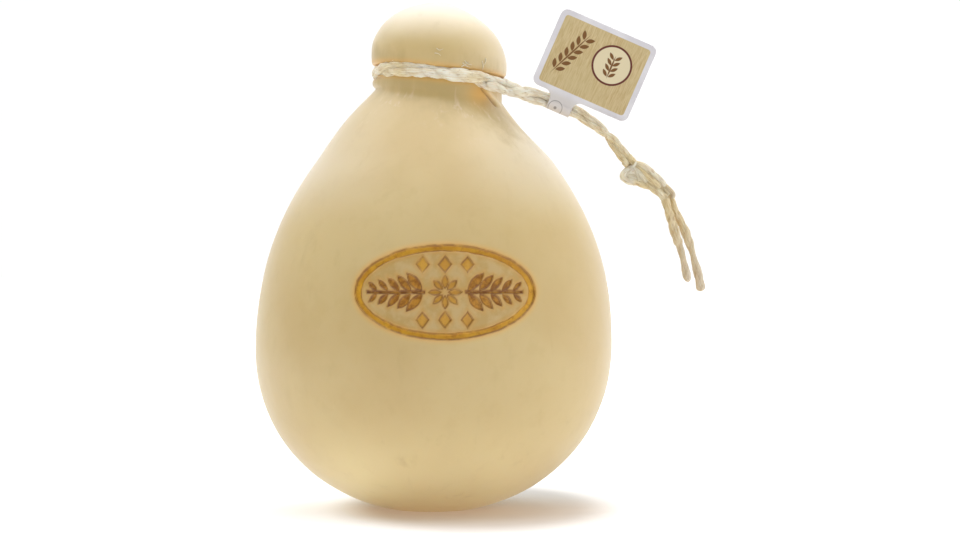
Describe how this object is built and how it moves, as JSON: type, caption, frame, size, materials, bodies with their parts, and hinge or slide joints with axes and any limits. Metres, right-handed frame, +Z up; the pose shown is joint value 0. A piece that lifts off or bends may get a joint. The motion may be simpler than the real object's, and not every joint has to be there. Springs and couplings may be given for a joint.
{
  "type": "provolone cheese",
  "caption": "Whole pear-shaped provolone cheese with a round head, tied at the neck with twine that carries a card tag and a knotted tail.",
  "frame": {"origin": "on the floor under the middle of the belly, where the cheese rests on its flat spot", "axes": "+Z up through the head, -Y towards the front with the pressed mark, +X towards the side where the twine's tail hangs"},
  "size_m": [0.2449, 0.196, 0.2772],
  "materials": {
    "rind": "waxy, slightly glossy cheese rind",
    "twine": "undyed fibre",
    "card": "printed card with a white edge"
  },
  "bodies": {
    "root": {"cheese": "rind", "twine_loop": "twine", "twine_tail": "twine", "twine_knot": "twine", "twine_end_a": "twine", "twine_end_b": "twine", "tag": "card"}
  },
  "joints": []
}
